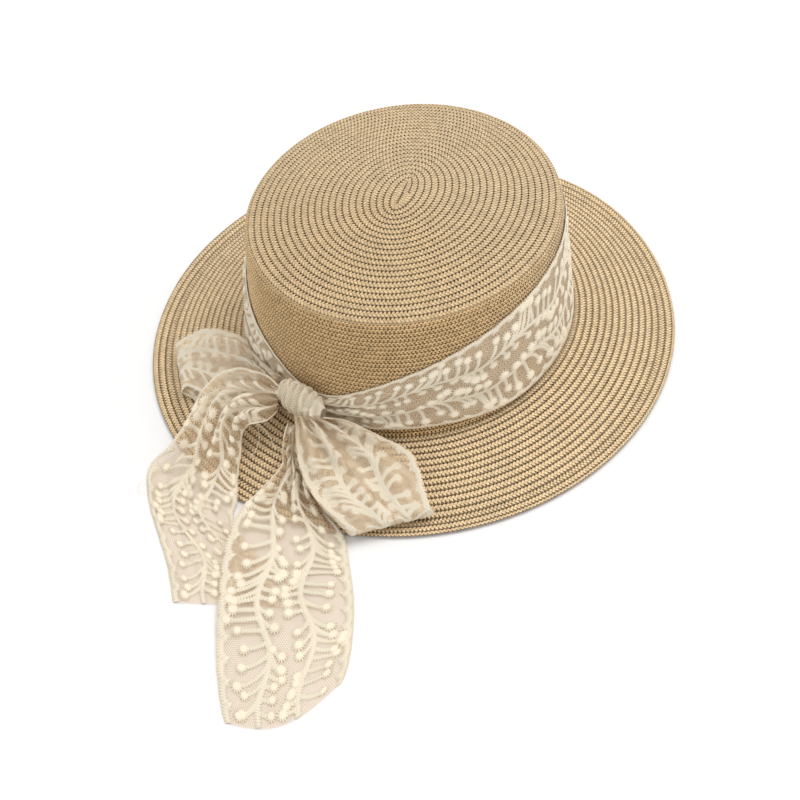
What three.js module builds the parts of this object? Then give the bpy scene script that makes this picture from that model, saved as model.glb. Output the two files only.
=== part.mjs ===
import * as THREE from "three";

// Sun hat of sewn braid with a lace ribbon tied round it in a bow.
// Millimetres, Z up, the long axis of the oval along Y, the bow at the -Y end.
// The brim rests on Z = 0, and the whole is centred on the origin in plan.

// Main sizes
const CROWN_HALF_WIDTH = 89.6; // outside of the crown at its foot, along X
const CROWN_HALF_LENGTH = 98.6; // outside of the crown at its foot, along Y
const CROWN_RIM_HEIGHT = 91.4; // where the side turns over into the top
const CROWN_RIM_INSET = 8.2; // how far the top edge stands in from the foot
const TOP_DOME = 9; // rise of the top from its edge to its middle
const STRAW_WALL = 2.2;
const LACE_WALL = 1;
const GAP = 0.3; // left between pieces that touch
const BRIM_WIDTH = 58;
const KNOT_DIRECTION = -106; // degrees round the oval

// Fineness
const AROUND = 80; // facets round the oval
const TURN = 2 * Math.PI;

// The side of the crown from its foot to the seam of the top: out from the foot, height.
const CROWN_SIDE = [
  { out: 0, height: 12.8 },
  { out: -1.6, height: 36 },
  { out: -3.3, height: 62 },
  { out: -4.9, height: 88.6 },
];
// The rounded edge of the top, from the seam inward.
const CROWN_TOP_EDGE = [
  { out: -4.9, height: 88.6 + GAP },
  { out: -5.7, height: 90.4 },
  { out: -CROWN_RIM_INSET, height: CROWN_RIM_HEIGHT },
];
// Rings of the top, out from the foot.
const CROWN_TOP_OUTS = [-20, -36, -54, -72, -87];

// The upper face of the brim from the crown outward.
const BRIM_TOP = [
  { out: GAP, height: 15 },
  { out: 8, height: 13.3 },
  { out: 20, height: 10.3 },
  { out: 32, height: 7.1 },
  { out: 42, height: 4.2 },
  { out: 49, height: STRAW_WALL },
  { out: BRIM_WIDTH, height: STRAW_WALL },
];
// The rear right of the brim stands a little off the table.
const BRIM_LIFT = { direction: 58, spread: 38, rise: 3 };

// Edges of the lace band round the crown: it is full width behind and gathered at the knot.
const BAND_EDGES = [
  { direction: -106, lower: 23.5, upper: 37 },
  { direction: -97, lower: 23, upper: 38 },
  { direction: -90, lower: 22.6, upper: 44 },
  { direction: -74, lower: 22, upper: 56 },
  { direction: -54, lower: 20.3, upper: 67 },
  { direction: -34, lower: 18, upper: 75 },
  { direction: -15, lower: 16.6, upper: 79.5 },
  { direction: 10, lower: 16.4, upper: 82 },
  { direction: 60, lower: 16.4, upper: 82 },
  { direction: 120, lower: 16.4, upper: 81 },
  { direction: 165, lower: 16.6, upper: 74 },
  { direction: 195, lower: 17, upper: 63 },
  { direction: 216, lower: 18, upper: 54 },
  { direction: 227, lower: 19.5, upper: 50 },
  { direction: 237, lower: 21.5, upper: 46 },
  { direction: 247, lower: 23, upper: 39 },
];

// Ribbons of the bow: the two long edges, a and b, at each section from the knot outward.
const LEFT_TAIL = [
  { ax: -41, ay: -97, az: 39, bx: -39, by: -108, bz: 31 },
  { ax: -53, ay: -93, az: 42.5, bx: -43, by: -115, bz: 29 },
  { ax: -70, ay: -91, az: 39, bx: -53, by: -117, bz: 25 },
  { ax: -84, ay: -98, az: 30, bx: -57, by: -119, bz: 18 },
  { ax: -90, ay: -112, az: 19, bx: -56, by: -124, bz: 12 },
  { ax: -96, ay: -127, az: 9, bx: -53, by: -136, bz: 6 },
  { ax: -104, ay: -139, az: 2.5, bx: -49, by: -148, bz: 3.5 },
  { ax: -96, ay: -160, az: 0, bx: -45, by: -163, bz: 0 },
  { ax: -71, ay: -195, az: 0, bx: -15, by: -190, bz: 0 },
  { ax: -57, ay: -219, az: 0, bx: -3, by: -208, bz: 0 },
];
const RIGHT_TAIL = [
  { ax: -33, ay: -109, az: 24, bx: -22, by: -111, bz: 24 },
  { ax: -33, ay: -119, az: 17.5, bx: -22, by: -120, bz: 17.5 },
  { ax: -31, ay: -129, az: 12, bx: -16, by: -130, bz: 11.5 },
  { ax: -38, ay: -142, az: 8, bx: -4, by: -143, bz: 6 },
  { ax: -45, ay: -155, az: 4.5, bx: 13, by: -158, bz: 2.5 },
  { ax: -44, ay: -181, az: 3.2, bx: 20, by: -171, bz: 0.8 },
  { ax: -33, ay: -218, az: 3, bx: 31, by: -195, bz: 0.8 },
  { ax: -22, ay: -247, az: 1.6, bx: 38, by: -218, bz: 0 },
  { ax: -12, ay: -268, az: 0, bx: 41, by: -234, bz: 0 },
  { ax: -5, ay: -279, az: 0, bx: 41, by: -242, bz: 0 },
];
// The loops run out from the knot in a lower layer, fold over and run back in an upper one.
const LEFT_LOOP = [
  { ax: -43, ay: -92, az: 35, bx: -41, by: -97, bz: 29 },
  { ax: -67, ay: -68, az: 24, bx: -54, by: -95, bz: 20 },
  { ax: -87, ay: -52, az: 15.5, bx: -67, by: -97, bz: 12.5 },
  { ax: -106, ay: -49, az: 10.5, bx: -83, by: -97, bz: 8.6 },
  { ax: -120, ay: -55, az: 7, bx: -102, by: -88, bz: 6.6 },
  { ax: -123, ay: -55.5, az: 10.5, bx: -105, by: -89, bz: 9.5 },
  { ax: -119, ay: -54, az: 15, bx: -101, by: -87, bz: 13.5 },
  { ax: -105, ay: -48, az: 21, bx: -83, by: -96, bz: 17.5 },
  { ax: -86, ay: -52, az: 26, bx: -67, by: -95, bz: 21.5 },
  { ax: -67, ay: -66, az: 31.5, bx: -54, by: -93, bz: 26.5 },
  { ax: -44, ay: -91, az: 40, bx: -42, by: -95, bz: 34 },
];
const RIGHT_LOOP = [
  { ax: -27, ay: -112, az: 27.5, bx: -13, by: -110, bz: 28 },
  { ax: -22, ay: -124, az: 21, bx: 1, by: -107, bz: 23 },
  { ax: -14, ay: -137, az: 15, bx: 20, by: -110, bz: 18 },
  { ax: -2, ay: -148, az: 9.5, bx: 36, by: -115, bz: 13 },
  { ax: 15, ay: -158, az: 5.4, bx: 52, by: -134, bz: 6.4 },
  { ax: 18, ay: -160.5, az: 8.4, bx: 55, by: -136, bz: 10 },
  { ax: 14, ay: -158.5, az: 12, bx: 51, by: -133, bz: 14 },
  { ax: -5, ay: -149, az: 17, bx: 37, by: -112, bz: 21.5 },
  { ax: -17, ay: -136, az: 22.5, bx: 20, by: -107, bz: 26 },
  { ax: -24, ay: -122, az: 28.5, bx: 1, by: -105, bz: 30.5 },
  { ax: -28, ay: -110.6, az: 33, bx: -12, by: -108.4, bz: 33.5 },
];
const END_BOW = 13; // how far the middle of the right tail's cut end bows out

// The knot is a gathered lump.
const KNOT = { halfLength: 14, halfDepth: 6, halfHeight: 9.5, out: 7.8, height: 36 };
const KNOT_PLEATS = { count: 7, depth: 0.7 };

// Ribbons of the bow keep this far out from the foot of the crown, clear of the band.
const BOW_KEEP_OUT = 3.2;

const radians = (degrees) => (degrees * Math.PI) / 180;
const mix = (a, b, t) => a + (b - a) * t;
const smooth = (t) => THREE.MathUtils.smoothstep(t, 0, 1);

// A point on the oval of the crown's foot grown by out.
function onOval(angle, out, height) {
  const x = (CROWN_HALF_WIDTH + out) * Math.cos(angle);
  const y = (CROWN_HALF_LENGTH + out) * Math.sin(angle);
  return new THREE.Vector3(x, y, height);
}

function ring(out, height) {
  const points = [];
  for (let i = 0; i < AROUND; i += 1) {
    points.push(onOval((TURN * i) / AROUND, out, height));
  }
  return points;
}

// Height along a profile at a given out.
function heightAt(profile, out) {
  for (let i = 1; i < profile.length; i += 1) {
    const a = profile[i - 1];
    const b = profile[i];
    if (out <= b.out) {
      return mix(a.height, b.height, Math.max(0, (out - a.out) / (b.out - a.out)));
    }
  }
  return 0;
}

// Out of the crown's side at a given height.
function sideOutAt(height) {
  for (let i = 1; i < CROWN_SIDE.length; i += 1) {
    const a = CROWN_SIDE[i - 1];
    const b = CROWN_SIDE[i];
    if (height <= b.height) {
      return mix(a.out, b.out, (height - a.height) / (b.height - a.height));
    }
  }
  return CROWN_SIDE.at(-1).out;
}

// How far a plan point stands out from the foot of the crown, by halving.
function outOf(x, y) {
  let low = -CROWN_HALF_WIDTH + 1;
  let high = 260;
  for (let i = 0; i < 40; i += 1) {
    const middle = (low + high) / 2;
    const reach = Math.hypot(x / (CROWN_HALF_WIDTH + middle), y / (CROWN_HALF_LENGTH + middle));
    if (reach > 1) low = middle;
    else high = middle;
  }
  return low;
}

// Lift of the brim at a direction in degrees and an out.
function brimLift(direction, out) {
  const off = Math.abs(THREE.MathUtils.euclideanModulo(direction - BRIM_LIFT.direction + 180, 360) - 180);
  const near = smooth(Math.max(0, 1 - off / BRIM_LIFT.spread));
  return BRIM_LIFT.rise * near * Math.pow(Math.max(0, out) / BRIM_WIDTH, 2);
}

// A profile moved sideways by a distance, with mitred corners.
function offsetProfile(profile, distance) {
  return profile.map((row, i) => {
    const before = profile[Math.max(0, i - 1)];
    const after = profile[Math.min(profile.length - 1, i + 1)];
    const inward = new THREE.Vector2(row.out - before.out, row.height - before.height).normalize();
    const onward = new THREE.Vector2(after.out - row.out, after.height - row.height).normalize();
    if (i === 0) inward.copy(onward);
    if (i === profile.length - 1) onward.copy(inward);
    const along = inward.clone().add(onward).normalize();
    const reach = distance / along.dot(onward);
    return { out: row.out - along.y * reach, height: row.height + along.x * reach };
  });
}

// Collects points and faces of one closed body.
class Body {
  constructor() {
    this.positions = [];
    this.faces = [];
  }
  add(point) {
    this.positions.push(point.x, point.y, point.z);
    return this.positions.length / 3 - 1;
  }
  addRow(points) {
    return points.map((point) => this.add(point));
  }
  quad(a, b, c, d) {
    this.faces.push(a, b, c, a, c, d);
  }
  strip(first, second, closed) {
    const last = closed ? first.length : first.length - 1;
    for (let i = 0; i < last; i += 1) {
      const j = (i + 1) % first.length;
      this.quad(first[i], first[j], second[j], second[i]);
    }
  }
  fan(centre, row) {
    for (let i = 0; i < row.length; i += 1) {
      this.faces.push(centre, row[i], row[(i + 1) % row.length]);
    }
  }
  volume() {
    let sum = 0;
    const corner = (k) => new THREE.Vector3().fromArray(this.positions, 3 * this.faces[k]);
    for (let k = 0; k < this.faces.length; k += 3) {
      sum += corner(k).dot(corner(k + 1).cross(corner(k + 2))) / 6;
    }
    return sum;
  }
  geometry() {
    const faces = this.volume() < 0 ? this.faces.slice().reverse() : this.faces;
    const geometry = new THREE.BufferGeometry();
    geometry.setAttribute("position", new THREE.Float32BufferAttribute(this.positions, 3));
    geometry.setIndex(faces);
    return geometry;
  }
}

// A wall of even thickness round a grid of points on its middle surface.
// The grid is rows of points; closed joins the last row to the first.
function wall(grid, thickness, closed = false) {
  const body = new Body();
  const rows = grid.length;
  const columns = grid[0].length;
  const rowAt = (i) => (closed ? (i + rows) % rows : THREE.MathUtils.clamp(i, 0, rows - 1));
  const columnAt = (j) => THREE.MathUtils.clamp(j, 0, columns - 1);
  const sides = [0.5, -0.5].map((side) =>
    grid.map((row, i) =>
      row.map((point, j) => {
        const along = grid[rowAt(i + 1)][j].clone().sub(grid[rowAt(i - 1)][j]);
        const across = grid[i][columnAt(j + 1)].clone().sub(grid[i][columnAt(j - 1)]);
        const normal = along.cross(across).normalize();
        return body.add(point.clone().addScaledVector(normal, side * thickness));
      }),
    ),
  );
  const [front, back] = sides;
  const last = closed ? rows : rows - 1;
  for (let i = 0; i < last; i += 1) {
    const next = (i + 1) % rows;
    for (let j = 0; j < columns - 1; j += 1) {
      body.quad(front[i][j], front[next][j], front[next][j + 1], front[i][j + 1]);
      body.quad(back[i][j], back[i][j + 1], back[next][j + 1], back[next][j]);
    }
    body.quad(front[i][0], back[i][0], back[next][0], front[next][0]);
    const end = columns - 1;
    body.quad(front[i][end], front[next][end], back[next][end], back[i][end]);
  }
  if (!closed) {
    for (let j = 0; j < columns - 1; j += 1) {
      const end = rows - 1;
      body.quad(front[0][j], front[0][j + 1], back[0][j + 1], back[0][j]);
      body.quad(front[end][j], back[end][j], back[end][j + 1], front[end][j + 1]);
    }
  }
  return body.geometry();
}

// A closed section swept round the oval, with an optional lift at each point.
function sweptRing(section, lift = () => 0) {
  const body = new Body();
  const rows = section.map((row) => {
    const points = ring(row.out, row.height);
    points.forEach((point, i) => {
      point.z += lift((360 * i) / AROUND, row.out);
    });
    return body.addRow(points);
  });
  rows.forEach((row, i) => body.strip(row, rows[(i + 1) % rows.length], true));
  return body.geometry();
}

// Side of the crown: a wall that leans in a little.
function crownSideGeometry() {
  const inner = CROWN_SIDE.map((row) => ({ out: row.out - STRAW_WALL, height: row.height }));
  return sweptRing(CROWN_SIDE.concat(inner.reverse()));
}

// Top of the crown: a gently domed plate with a rounded edge, seated on the side.
function crownTopHeight(out) {
  const share = (CROWN_HALF_WIDTH + out) / (CROWN_HALF_WIDTH - CROWN_RIM_INSET);
  return CROWN_RIM_HEIGHT + TOP_DOME * (1 - share * share);
}

function crownTopGeometry() {
  const dome = CROWN_TOP_OUTS.map((out) => ({ out, height: crownTopHeight(out) }));
  const seat = CROWN_TOP_EDGE[0];
  const outer = CROWN_TOP_EDGE.concat(dome);
  const inner = [{ out: seat.out - STRAW_WALL, height: seat.height }];
  inner.push(...dome.map((row) => ({ out: row.out, height: row.height - STRAW_WALL })));
  const middle = onOval(0, -CROWN_HALF_WIDTH, CROWN_RIM_HEIGHT + TOP_DOME);
  const body = new Body();
  const outerRows = outer.map((row) => body.addRow(ring(row.out, row.height)));
  const innerRows = inner.map((row) => body.addRow(ring(row.out, row.height)));
  for (let i = 1; i < outerRows.length; i += 1) body.strip(outerRows[i - 1], outerRows[i], true);
  for (let i = 1; i < innerRows.length; i += 1) body.strip(innerRows[i], innerRows[i - 1], true);
  body.strip(innerRows[0], outerRows[0], true);
  body.fan(body.add(middle), outerRows.at(-1));
  middle.z -= STRAW_WALL;
  body.fan(body.add(middle), innerRows.at(-1).slice().reverse());
  return body.geometry();
}

// Brim: a sloping ring that levels out at its edge, where it rests.
function brimGeometry() {
  const under = offsetProfile(BRIM_TOP, -STRAW_WALL);
  under[0].out = BRIM_TOP[0].out;
  return sweptRing(BRIM_TOP.concat(under.reverse()), brimLift);
}

// Lace band: a strip round the crown, a small gap off it, with soft folds near the knot.
const BAND_FOLDS = { count: 2.5, depth: 0.6, reach: 75 };
const BAND_ROWS = 7;

const bandEdgeCurve = new THREE.CubicInterpolant(
  BAND_EDGES.map((row) => row.direction).concat(BAND_EDGES[0].direction + 360),
  BAND_EDGES.concat(BAND_EDGES[0]).flatMap((row) => [row.lower, row.upper]),
  2,
);
bandEdgeCurve.settings = {
  endingStart: THREE.WrapAroundEnding,
  endingEnd: THREE.WrapAroundEnding,
};

function bandEdges(direction) {
  const start = BAND_EDGES[0].direction;
  const [lower, upper] = bandEdgeCurve.evaluate(start + THREE.MathUtils.euclideanModulo(direction - start, 360));
  return { lower, upper };
}

function bandGeometry() {
  const grid = [];
  for (let i = 0; i < AROUND; i += 1) {
    const direction = (360 * i) / AROUND;
    const { lower, upper } = bandEdges(direction);
    const off = Math.abs(THREE.MathUtils.euclideanModulo(direction - KNOT_DIRECTION + 180, 360) - 180);
    const fold = BAND_FOLDS.depth * smooth(Math.max(0, 1 - off / BAND_FOLDS.reach));
    const row = [];
    for (let j = 0; j < BAND_ROWS; j += 1) {
      const across = j / (BAND_ROWS - 1);
      const height = mix(lower, upper, across);
      const ripple = fold * (0.5 - 0.5 * Math.cos(TURN * BAND_FOLDS.count * across));
      const out = sideOutAt(height) + GAP + 0.12 + LACE_WALL / 2 + ripple;
      row.push(onOval(radians(direction), out, height));
    }
    grid.push(row);
  }
  return wall(grid, LACE_WALL, true);
}

// Height of the middle of a ribbon that lies on the brim or on the table.
const EDGE_RAMP = 7; // the ribbon comes down off the brim over this run

function restHeight(x, y) {
  const out = outOf(x, y);
  const lying = LACE_WALL / 2 + GAP;
  if (out <= BRIM_WIDTH + 1) {
    return heightAt(BRIM_TOP, Math.max(GAP, Math.min(out, BRIM_WIDTH))) + lying;
  }
  const t = smooth(Math.min(1, (out - BRIM_WIDTH - 1) / EDGE_RAMP));
  return mix(STRAW_WALL + lying, LACE_WALL / 2, t);
}

// A ribbon through its table of edges, gathered at the knot and lying on what is under it.
function ribbonGeometry(table, { steps, columns, gather, endBow }) {
  const edge = (name) =>
    new THREE.CatmullRomCurve3(
      table.map((row) => new THREE.Vector3(row[`${name}x`], row[`${name}y`], row[`${name}z`])),
    );
  const edgeA = edge("a");
  const edgeB = edge("b");
  const grid = [];
  for (let i = 0; i <= steps; i += 1) {
    const t = i / steps;
    const a = edgeA.getPoint(t);
    const b = edgeB.getPoint(t);
    const along = edgeA.getTangent(t).add(edgeB.getTangent(t)).normalize();
    const pleat = gather.depth * smooth(Math.max(0, 1 - gather.fromKnot(t) / gather.reach));
    const row = [];
    for (let j = 0; j < columns; j += 1) {
      const across = j / (columns - 1);
      const point = a.clone().lerp(b, across);
      point.z += pleat * Math.sin(TURN * gather.count * across);
      point.addScaledVector(along, endBow * t * t * t * t * Math.sin(Math.PI * across));
      const out = outOf(point.x, point.y);
      if (out < BOW_KEEP_OUT) {
        const angle = Math.atan2(point.y / (CROWN_HALF_LENGTH + out), point.x / (CROWN_HALF_WIDTH + out));
        const kept = onOval(angle, BOW_KEEP_OUT, point.z);
        point.copy(kept);
      }
      point.z = Math.max(point.z, restHeight(point.x, point.y));
      row.push(point);
    }
    grid.push(row);
  }
  return wall(grid, LACE_WALL);
}

const tailGather = { depth: 0.9, count: 1.5, reach: 0.35, fromKnot: (t) => t };
const loopGather = { depth: 0.7, count: 1.5, reach: 0.4, fromKnot: (t) => 1 - Math.abs(2 * t - 1) };

// Knot: a lump with pleats along it, set against the band.
function knotGeometry() {
  const angle = radians(KNOT_DIRECTION);
  const centre = onOval(angle, KNOT.out, KNOT.height);
  const outward = new THREE.Vector3(
    Math.cos(angle) / CROWN_HALF_WIDTH,
    Math.sin(angle) / CROWN_HALF_LENGTH,
    0,
  ).normalize();
  const sideways = new THREE.Vector3(outward.y, -outward.x, 0);
  const upward = new THREE.Vector3(0, 0, 1);
  const lump = new THREE.SphereGeometry(1, 20, 12);
  lump.rotateZ(-Math.PI / 2);
  const position = lump.getAttribute("position");
  for (let i = 0; i < position.count; i += 1) {
    const unit = new THREE.Vector3().fromBufferAttribute(position, i);
    const turn = Math.atan2(unit.z, unit.y);
    const girth = Math.hypot(unit.y, unit.z);
    const pleat = KNOT_PLEATS.depth * girth * Math.cos(KNOT_PLEATS.count * turn);
    const point = centre.clone();
    point.addScaledVector(sideways, unit.x * KNOT.halfLength);
    point.addScaledVector(outward, unit.y * (KNOT.halfDepth + pleat));
    point.addScaledVector(upward, unit.z * (KNOT.halfHeight + pleat));
    position.setXYZ(i, point.x, point.y, point.z);
  }
  lump.deleteAttribute("normal");
  lump.deleteAttribute("uv");
  return lump;
}

function straw(colour) {
  return new THREE.MeshStandardMaterial({ color: colour, roughness: 0.85, metalness: 0 });
}

function lace(colour) {
  return new THREE.MeshStandardMaterial({ color: colour, roughness: 0.9, metalness: 0 });
}

const pieces = [
  ["crown_side", crownSideGeometry(), straw(0xd2b48a)],
  ["crown_top", crownTopGeometry(), straw(0xd2b48a)],
  ["brim", brimGeometry(), straw(0xd8bd92)],
  ["lace_band", bandGeometry(), lace(0xf1e8d6)],
  ["bow_knot", knotGeometry(), lace(0xf1e8d6)],
  [
    "bow_loop_left",
    ribbonGeometry(LEFT_LOOP, { steps: 30, columns: 7, gather: loopGather, endBow: 0 }),
    lace(0xf1e8d6),
  ],
  [
    "bow_loop_right",
    ribbonGeometry(RIGHT_LOOP, { steps: 30, columns: 7, gather: loopGather, endBow: 0 }),
    lace(0xf1e8d6),
  ],
  [
    "bow_tail_left",
    ribbonGeometry(LEFT_TAIL, { steps: 27, columns: 8, gather: tailGather, endBow: 0 }),
    lace(0xf1e8d6),
  ],
  [
    "bow_tail_right",
    ribbonGeometry(RIGHT_TAIL, { steps: 27, columns: 8, gather: tailGather, endBow: END_BOW }),
    lace(0xf1e8d6),
  ],
];

// Centre the whole in plan and stand it on Z = 0.
const whole = new THREE.Box3();
for (const [, geometry] of pieces) {
  whole.union(new THREE.Box3().setFromBufferAttribute(geometry.getAttribute("position")));
}
const middle = whole.getCenter(new THREE.Vector3());

const sunHat = new THREE.Group();
sunHat.name = "sun_hat";
for (const [name, geometry, material] of pieces) {
  geometry.translate(-middle.x, -middle.y, -whole.min.z);
  geometry.computeVertexNormals();
  const mesh = new THREE.Mesh(geometry, material);
  mesh.name = name;
  sunHat.add(mesh);
}

export default sunHat;
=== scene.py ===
"""Sun hat of sewn straw braid with a lace ribbon bow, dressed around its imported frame."""

import math
from typing import NamedTuple

import bmesh
import bpy
import numpy as np
from bpy.props import FloatProperty, FloatVectorProperty, IntProperty, PointerProperty
from mathutils import Matrix, Vector


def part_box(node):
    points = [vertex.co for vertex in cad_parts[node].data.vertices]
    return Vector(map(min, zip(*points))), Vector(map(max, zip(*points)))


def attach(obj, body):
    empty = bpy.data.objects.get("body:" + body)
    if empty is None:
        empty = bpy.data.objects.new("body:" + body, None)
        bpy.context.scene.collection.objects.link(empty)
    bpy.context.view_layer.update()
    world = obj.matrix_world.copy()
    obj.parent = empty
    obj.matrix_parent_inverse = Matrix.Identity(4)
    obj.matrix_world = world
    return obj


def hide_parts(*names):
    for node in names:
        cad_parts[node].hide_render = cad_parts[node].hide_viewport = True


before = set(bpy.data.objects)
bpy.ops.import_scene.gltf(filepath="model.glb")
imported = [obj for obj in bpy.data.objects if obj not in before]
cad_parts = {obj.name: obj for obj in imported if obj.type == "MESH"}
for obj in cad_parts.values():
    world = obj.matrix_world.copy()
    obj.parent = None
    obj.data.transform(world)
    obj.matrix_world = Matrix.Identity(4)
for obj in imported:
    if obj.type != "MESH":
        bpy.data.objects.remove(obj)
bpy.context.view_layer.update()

bl_info = {
    "name": "Sun hat with lace bow",
    "version": (1, 0, 0),
    "blender": (4, 5, 0),
    "location": "View3D > Sidebar > Sun hat",
    "description": "Builds a straw sun hat with a lace ribbon tied in a bow",
    "category": "Object",
}

MM = 0.001
TURN = 2 * math.pi
# Least length that anything is divided by.
TINY = 1e-9

# Sizes of the hat in millimetres, as in the solids.
CROWN_HALF_WIDTH = 89.6
CROWN_HALF_LENGTH = 98.6
CROWN_RIM_HEIGHT = 91.4
CROWN_RIM_INSET = 8.2
TOP_DOME = 9.0
BRIM_WIDTH = 58.0
KNOT_DIRECTION = -106.0

# The middle of the hat's oval in plan, in metres.
BRIM_LOW, BRIM_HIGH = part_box("brim")
HAT_CENTRE = (BRIM_LOW + BRIM_HIGH) / 2

# The hat's outer face from the edge of the top down to the brim's edge: (out from the foot, height).
CROWN_EDGE = [(-6.9, 91.0), (-5.7, 90.1), (-5.0, 88.4)]
CROWN_SIDE = [(-4.5, 82.0), (-3.3, 62.0), (-1.6, 36.0), (-0.3, 18.0)]
BRIM_FOOT = [(0.5, 15.6), (2.0, 14.7)]
BRIM_TOP = [(8.0, 13.3), (20.0, 10.3), (32.0, 7.1), (42.0, 4.2), (49.0, 2.2), (58.0, 2.2)]
BRIM_LIFT_DIRECTION = 58.0
BRIM_LIFT_SPREAD = 38.0
BRIM_LIFT_RISE = 3.0

# Edges of the lace band: (direction in degrees, lower edge, upper edge).
BAND_EDGES = [
    (-106, 23.5, 37.0),
    (-97, 23.0, 38.0),
    (-90, 22.6, 44.0),
    (-74, 22.0, 56.0),
    (-54, 20.3, 67.0),
    (-34, 18.0, 75.0),
    (-15, 16.6, 79.5),
    (10, 16.4, 82.0),
    (60, 16.4, 82.0),
    (120, 16.4, 81.0),
    (165, 16.6, 74.0),
    (195, 17.0, 63.0),
    (216, 18.0, 54.0),
    (227, 19.5, 50.0),
    (237, 21.5, 46.0),
    (247, 23.0, 39.0),
    (254, 23.5, 37.0),
]

# Ribbons of the bow, from the knot outward: one long edge (x, y, z), then the other.
LEFT_TAIL = [
    (-41, -97, 39, -39, -108, 31),
    (-53, -93, 42.5, -43, -115, 29),
    (-70, -91, 39, -53, -117, 25),
    (-84, -98, 30, -57, -119, 18),
    (-90, -112, 19, -56, -124, 12),
    (-96, -127, 9, -53, -136, 6),
    (-104, -139, 2.5, -49, -148, 3.5),
    (-96, -160, 0, -45, -163, 0),
    (-71, -195, 0, -15, -190, 0),
    (-57, -219, 0, -3, -208, 0),
]
RIGHT_TAIL = [
    (-33, -109, 24, -22, -111, 24),
    (-33, -119, 17.5, -22, -120, 17.5),
    (-31, -129, 12, -16, -130, 11.5),
    (-38, -142, 8, -4, -143, 6),
    (-45, -155, 4.5, 13, -158, 2.5),
    (-44, -181, 3.2, 20, -171, 0.8),
    (-33, -218, 3, 31, -195, 0.8),
    (-22, -247, 1.6, 38, -218, 0),
    (-12, -268, 0, 41, -234, 0),
    (-5, -279, 0, 41, -242, 0),
]
# The loops run out in a lower layer, fold over and run back in an upper one.
LEFT_LOOP = [
    (-43, -92, 35, -41, -97, 29),
    (-67, -68, 24, -54, -95, 20),
    (-87, -52, 15.5, -67, -97, 12.5),
    (-106, -49, 10.5, -83, -97, 8.6),
    (-120, -55, 7, -102, -88, 6.6),
    (-123, -55.5, 10.5, -105, -89, 9.5),
    (-119, -54, 15, -101, -87, 13.5),
    (-105, -48, 21, -83, -96, 17.5),
    (-86, -52, 26, -67, -95, 21.5),
    (-67, -66, 31.5, -54, -93, 26.5),
    (-44, -91, 40, -42, -95, 34),
]
RIGHT_LOOP = [
    (-27, -112, 27.5, -13, -110, 28),
    (-22, -124, 21, 1, -107, 23),
    (-14, -137, 15, 20, -110, 18),
    (-2, -148, 9.5, 36, -115, 13),
    (15, -158, 5.4, 52, -134, 6.4),
    (18, -160.5, 8.4, 55, -136, 10),
    (14, -158.5, 12, 51, -133, 14),
    (-5, -149, 17, 37, -112, 21.5),
    (-17, -136, 22.5, 20, -107, 26),
    (-24, -122, 28.5, 1, -105, 30.5),
    (-28, -110.6, 33, -12, -108.4, 33.5),
]
# How far the middle of the right tail's end bows out past its corners.
END_BOW = 13.0

# Threads that have come loose from the left tail's edges: (x, y, z) from the edge outward.
LOOSE_THREADS = [
    [(-53.5, -116, 25), (-56.2, -116.5, 20), (-58, -118.6, 14)],
    [(-48.4, -114.7, 27), (-48.6, -114.2, 19), (-48.1, -117.8, 13.5), (-49.7, -125, 11)],
    [(-47.6, -115.2, 27), (-44.8, -113.4, 20), (-42, -113.9, 14), (-38.2, -118.7, 12.2)],
    [
        (-99.7, -146.6, 3),
        (-102.5, -149.3, 4),
        (-104.1, -153.6, 3.5),
        (-102.2, -156.1, 2),
        (-99.6, -154.3, 1.5),
    ],
]
THREAD_RADIUS = 0.17
THREAD_STEPS = 8

# Room that the bow's ribbons keep from the crown, the brim and the floor.
BOW_KEEP_OUT = 3.2
BRIM_CLEAR = 0.9
FLOOR_CLEAR = 0.5
# The ribbons come down to the floor over a ramp that starts a little past the brim's edge.
EDGE_START = 1.0
EDGE_RAMP = 7.0

# The knot: half sizes along, out from and up the crown, and its place.
KNOT_HALF_LENGTH = 14.0
KNOT_HALF_DEPTH = 6.0
KNOT_HALF_HEIGHT = 9.5
KNOT_OUT = 7.8
KNOT_HEIGHT = 36.0
# Mean girth of the knot, as a share of its girth in the middle.
KNOT_GIRTH_SHARE = 0.86
# The knot thins toward its ends, has ridges along it and leans up to one side.
KNOT_END_THINNING = 0.9
KNOT_END_GIRTH = 0.02
KNOT_RIDGE_DEPTH = 0.2
KNOT_RIDGE_TURNS = 3.7
KNOT_RIDGE_SWAY = 0.9
KNOT_LEAN = 0.18

# The camera, as the photo was taken, in the frame of the hat's oval.
CAMERA_PLACE = (263.6, -699.9, 701.3)
CAMERA_FORWARD = (-0.2574, 0.6538, -0.7115)
CAMERA_UP = (-0.1766, 0.6921, 0.6998)
CAMERA_LENS = 80.7
CAMERA_SENSOR = 36.0
CAMERA_NEAR = 0.05

# The stage, in metres.
FLOOR_HALF_SIZE = 6.0
KEY_PLACE = (0.4, 0.3, 1.5)
KEY_SIZE = 1.2
KEY_COLOUR = (1.0, 0.99, 0.97)


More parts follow.
